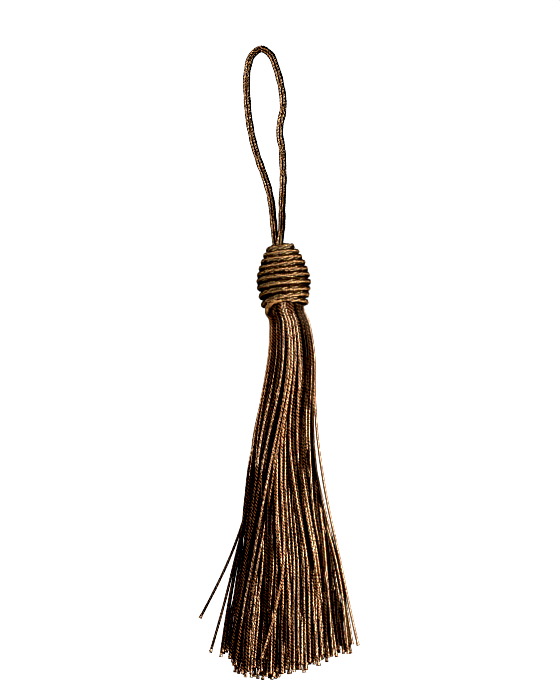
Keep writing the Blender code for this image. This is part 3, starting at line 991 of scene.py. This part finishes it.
# %% Settling
SLICE = 0.002
THREAD_RADIUS = 0.00029
NECK_ROOM = 0.00060  # between the middles of threads at the neck
SPREAD_ROOM = 0.00078  # and where the skirt has opened
SPREAD_RUN = 0.025
ROOM_CHANCE = 0.25  # how much the threads differ in it
SETTLE_SEED = 23
WANDER = 0.0012  # how far a thread strays from its own line
WANDER_TURNS = (0.5, 1.6)
ROUNDS = 90
SINK = 0.00001  # how far an unsupported thread falls in a round
STIFFNESS = 0.12  # how much of the mean of its neighbours a point takes
PUSH = 0.6  # how much of an overlap a round takes out
SMOOTHING = 4  # rounds that take out the last small kinks
SMOOTH_SHARE = 0.5
TINY = 1e-9
HOLD = 0.03  # how strongly a thread keeps to its own line
DRIFT = 0.0030  # how far aside an upper thread's tip may lie
TIP_UNEVEN = 0.0007
DRAW_IN = 0.0007  # how far the open skirt's edges lie inside the solid strands'
DRAW_RUN = 0.022  # over this much of its length
BED_THREADS = 30
BED_INSET = 0.0007
BED_FALL = 0.012
BED_ROOM = 0.5
BED_WANDER = 0.5
Sweep = namedtuple("Sweep", "row rank leave_y tip_x bow")
SWEEPS = (
    Sweep(13, 0, 0.0150, -0.0112, 0.85),
    Sweep(13, 1, 0.0125, -0.0098, 0.85),
    Sweep(12, 3, 0.0110, -0.0086, 0.90),
    Sweep(12, 1, 0.0170, -0.0120, 0.80),
    Sweep(12, 4, 0.0050, 0.0090, 1.10),
)


def smoothed(line, share):
    """Move each point of the rows a share of the way to the mean of its neighbours."""
    line[:, 1:-1] += share * ((line[:, :-2] + line[:, 2:]) / 2 - line[:, 1:-1])


def settle(x, z, room):
    """Let the threads, which are rows, sink and part in all slices but the first.

    room is what each thread takes up at each slice.
    """
    home = x.copy()
    width = (room[:, None, :] + room[None, :, :]) / 2
    others = 1.0 - np.eye(len(x))[:, :, None]
    for _ in range(ROUNDS):
        z[:, 1:] -= SINK
        x[:, 1:] += HOLD * (home - x)[:, 1:]
        for line in (x, z):
            smoothed(line, STIFFNESS)
        across = x[:, None, :] - x[None, :, :]
        above = z[:, None, :] - z[None, :, :]
        apart = np.sqrt(across**2 + above**2) + TINY
        push = others * np.clip(width - apart, 0.0, None) / (2 * apart)
        for line, gap in ((x, across), (z, above)):
            line[:, 1:] += (push * gap).sum(axis=1)[:, 1:] * PUSH
        np.maximum(z, THREAD_RADIUS, out=z)
    for _ in range(SMOOTHING):
        for line in (x, z):
            smoothed(line, SMOOTH_SHARE)
    return x, z


def wander(slices, rng):
    """Lead a thread a little off its line and back to it."""
    run = slices / slices[-1]
    wave = np.sin(math.tau * (run * rng.uniform(*WANDER_TURNS) + rng.random()))
    return WANDER * rng.uniform(-1.0, 1.0) * np.sin(math.pi * run) * wave


def drawn_in(x):
    """Find how far aside threads move as the skirt's edges are drawn in."""
    middle = (left_edge + right_edge) / 2
    half = (right_edge - left_edge) / 2
    return (middle - x) / half * DRAW_IN * eased(slices / DRAW_RUN)


slices = np.linspace(0.0, STATIONS[-1], round(STATIONS[-1] / SLICE) + 1)
slice_ys = NECK_Y - slices
rng = random.Random(SETTLE_SEED)
left_edge, right_edge = skirt_edges(slice_ys)
thread_x = np.array([smooth_table(slices, STATIONS, row) for row in lay_x])
thread_z = np.array([smooth_table(slices, STATIONS, row) for row in lay_z])
sweeps = {(sweep_to.row, sweep_to.rank): sweep_to for sweep_to in SWEEPS}
for number, root in enumerate(thread_roots):
    if root.stray:
        gone = np.minimum(share_gone(root.stray.leave_y, slice_ys, root.stray.tip_y), 1.0)
        thread_x[number] += drawn_in(thread_x[number]) * (1 - gone)
        continue
    height = root.row / thread_roots[-1].row
    drift = DRIFT * rng.uniform(-1.0, 1.0) * height * eased(slices / slices[-1])
    x = np.clip(thread_x[number] + wander(slices, rng) + drift, left_edge, right_edge)
    x += drawn_in(x)
    sweep_to = sweeps.get((root.row, root.rank))
    x = led_aside(x, slice_ys, sweep_to, slice_ys[-1]) if sweep_to else x
    lowered = tip_line(x[-1]) - tip_line(thread_x[number][-1])
    tip_y[number] += lowered + rng.uniform(-1.0, 1.0) * TIP_UNEVEN
    thread_x[number] = x
print(f"{len(sweeps)} threads led across the others, and the rest strayed by chance")

# %% [markdown]
# ### The bed and the solver
#
# A bed of thin threads from the middle of the bundle lies under them all, so that the table
# shows only at the skirt's edges. They share the width evenly.

# %% The bed and the solver
bed_shares = (np.arange(BED_THREADS) + 0.5) / BED_THREADS
bed_x = left_edge + BED_INSET + (right_edge - left_edge - 2 * BED_INSET) * bed_shares[:, None]
bed_x += np.array([wander(slices, rng) for _ in bed_shares]) * BED_WANDER
bed_x += drawn_in(bed_x)
bed_z = THREAD_RADIUS + (thread_z[:, 0].mean() - THREAD_RADIUS) * (1 - eased(slices / BED_FALL))
thread_x = np.vstack([thread_x, bed_x])
thread_z = np.vstack([thread_z, np.tile(bed_z, (BED_THREADS, 1))])
tip_y = np.concatenate([tip_y, tip_line(bed_x[:, -1]) + TIP_SCATTER])

room = NECK_ROOM + (SPREAD_ROOM - NECK_ROOM) * eased(slices / SPREAD_RUN)
room = np.array([room * rng.uniform(1 - ROOM_CHANCE, 1 + ROOM_CHANCE) for _ in thread_x])
room[-BED_THREADS:] *= BED_ROOM
thread_x, thread_z = settle(thread_x, thread_z, room)
print(f"settled in {len(slices)} slices, the highest thread at {1000 * thread_z.max():.1f} mm")

# %% [markdown]
# ## Spinning the threads
#
# Each thread is two plies twisted together. Its line starts inside the head, where the
# binding draws the threads together, and ends at its own cut tip, where the plies loosen
# and swell a little.

# %% Thread lines
THREAD_STEP = 0.00025
TWIST_PITCH = 0.0021
BIND_DOWN = 0.0116  # where the binding holds the threads, below the head's top
BIND_SHARE = 0.92  # how much the binding narrows the bundle
SWELL_LENGTH = 0.0011
SWELL = 1.35
ROOT_CLEAR = 0.0012  # slices nearer to the root than this are left out


def thread_path(number, root):
    """Follow one thread from inside the head to its tip."""
    points = zip(thread_x[number], slice_ys, thread_z[number])
    start = []
    first_y = slice_ys[0]
    if root is not None:
        place = head_frame()
        local = place.inverted() @ root.place
        bound = place @ Vector((local.x * BIND_SHARE, -BIND_DOWN, local.z * BIND_SHARE))
        start = [tuple(bound), tuple(root.place)]
        first_y = root.place.y - ROOT_CLEAR
    middle = [point for point in points if tip_y[number] < point[1] <= first_y]
    end_x = np.interp(-tip_y[number], -slice_ys, thread_x[number])
    end_z = np.interp(-tip_y[number], -slice_ys, thread_z[number])
    return smooth_curve([*start, *middle, (end_x, tip_y[number], end_z)], THREAD_STEP)


def swollen(path):
    """Widen a thread towards its tip, where the plies loosen."""
    left_over = THREAD_STEP * np.arange(len(path))[::-1]
    return 1 + (SWELL - 1) * eased(1 - left_over / SWELL_LENGTH)


all_roots = thread_roots + [None] * BED_THREADS
thread_paths = [thread_path(number, root) for number, root in enumerate(all_roots)]
spun = sum(walk_along(path)[-1] for path in thread_paths)
print(f"{len(thread_paths)} threads, {spun:.1f} m in all")

# %% [markdown]
# ## Dye and shade
#
# No two threads are dyed alike: about a third stay dark, and the rest differ. A colour for
# each would need as many materials as threads. One value kept on the mesh does it with
# two. It holds painted light and shade too: the silk is painted darker just under the head,
# where the head would shade it, and at the lower left, away from the lamp, and higher up it
# is painted lighter on the left and darker on the right. It is also lighter towards each
# cut tip.

# %% Dye and shade
DYE_SEED = 5
DARK_SHARE = 0.32  # of the threads
DARK_DYES = (0.02, 0.20)
BRIGHT_DYE = 0.75  # the least of a bright thread
DYE_RANGE = 2.25
# Faces darker than this, by dyeing and painted shade together, get the dark silk.
DARK_SILK_BELOW = 0.5  # silk dyed darker than this shines less
TIP_SHARE = 0.02  # of its length, over which a thread grows lighter
# How much lighter each thread is at its cut tip.
TIP_LIGHTENING = 0.8
SHADE_SHARES = (-0.15, 0.0, 0.12, 0.30, 0.50, 0.80, 1.0)  # from the left edge to the right
# Painted light and shade: a level under 1 is painted shade, over 1 painted light. The first row is the
# painted shadow under the head's binding, and lower down the left side, away from the lamp, is painted
# darker.
SHADE_ROWS = (  # how far down, and the levels there
    (-0.0335, (0.80, 0.80, 0.50, 0.35, 0.22, 0.14, 0.15)),
    (-0.0265, (2.45, 2.40, 1.65, 1.00, 0.58, 0.36, 0.40)),
    (-0.0110, (1.90, 1.90, 1.80, 1.60, 1.35, 1.20, 1.05)),
    (0.0040, (0.03, 0.10, 0.28, 0.77, 1.15, 1.25, 1.20)),
    (0.0460, (0.03, 0.08, 0.22, 0.60, 0.90, 0.97, 1.02)),
)


def side_shade(places):
    """Find how much painted light and shade make the silk brighter or darker at each place."""
    left, right = skirt_edges(places[:, 1])
    share = (places[:, 0] - left) / (right - left)
    downs, rows = zip(*SHADE_ROWS)
    levels = np.stack([np.interp(share, SHADE_SHARES, row) for row in rows])
    at = np.interp(-places[:, 1], downs, range(len(downs)))
    above = np.minimum(at.astype(int), len(rows) - 2)
    part = eased(at - above)
    every = np.arange(len(places))
    return levels[above, every] * (1 - part) + levels[above + 1, every] * part


def pick_dye(rng):
    """Choose how bright a thread is."""
    if rng.random() < DARK_SHARE:
        return rng.uniform(*DARK_DYES)
    return BRIGHT_DYE + DYE_RANGE * rng.random() ** 2


def mark_dyes_and_shade(threads, dyes):
    """Keep for each vertex how bright its silk is, by its dyeing, painted light and shade, and tip."""
    surface = read_surface(threads.data)
    numbers = np.floor(np.add.reduceat(surface.v, surface.firsts) / surface.counts).astype(int)
    levels = np.zeros(len(surface.places))
    levels[surface.corners] = np.repeat(np.asarray(dyes)[numbers], surface.counts)
    nearness = np.zeros(len(surface.places))
    nearness[surface.corners] = eased(1 - (1 - surface.u) / TIP_SHARE)
    levels = levels * side_shade(surface.places) + TIP_LIGHTENING * nearness
    keep_levels(threads.data, "dye_and_shade", levels, levels[surface.corners[surface.firsts]] < DARK_SILK_BELOW)


print("shade at the origin:", side_shade(np.zeros((1, 3))).round(2))

# %% [markdown]
# ## Sweeping the threads
#
# One mesh of all threads would be slow to handle, and one for each would clutter the scene,
# so there are five. A finer twist than that of the plies is painted on them, as painted shade
# between its plies and painted highlight on them, and strong specks break up their shine.

# %% Sweeping the threads
GROUPS = 5
THREAD_SECTION = Section(radius=THREAD_RADIUS, plies=2, corners=4, groove=0.10)
THREAD_LENGTH = 0.078  # of most threads, for the size of their fibres
THREAD_GLINT = (1.0, 0.67, 0.44)
# The threads' colours run from painted shade between the painted plies to painted highlight on them.
BRIGHT_STOPS = (
    (0.25, (0.0005, 0.00012, 0.00004)),
    (0.65, (0.008, 0.0022, 0.0009)),
    (1.00, (0.105, 0.040, 0.014)),
)
DARK_STOPS = (
    (0.45, (0.0004, 0.0001, 0.00003)),
    (0.78, (0.006, 0.0018, 0.0007)),
    (1.00, (0.30, 0.115, 0.040)),
)
# The dark silk is also the nearly glossless copy for faces in painted shade.
THREAD_SILKS = (("bright thread silk", BRIGHT_STOPS, 1.0), ("dark thread silk", DARK_STOPS, 0.05))

rng = random.Random(DYE_SEED)
thread_section = draw_section("thread_section", THREAD_SECTION)
silks = [
    make_silk(
        name, THREAD_SECTION, THREAD_LENGTH, stops, THREAD_GLINT,
        gloss=0.22, shine=shine, speckle=1.1, lay=-2 * TWIST_PITCH, dyed=True,
    )
    for name, stops, shine in THREAD_SILKS
]
per_group = math.ceil(len(thread_paths) / GROUPS)
for group in range(GROUPS):
    paths = thread_paths[group * per_group : (group + 1) * per_group]
    threads = sweep(
        f"skirt_threads_{group + 1}", paths, thread_section, TWIST_PITCH,
        widths=[swollen(path) for path in paths], starts=[rng.random() for _ in paths],
    )
    for silk in silks:
        threads.data.materials.append(silk)
    mark_dyes_and_shade(threads, [pick_dye(rng) for _ in paths])
    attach(threads, "root")
    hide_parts("skirt")
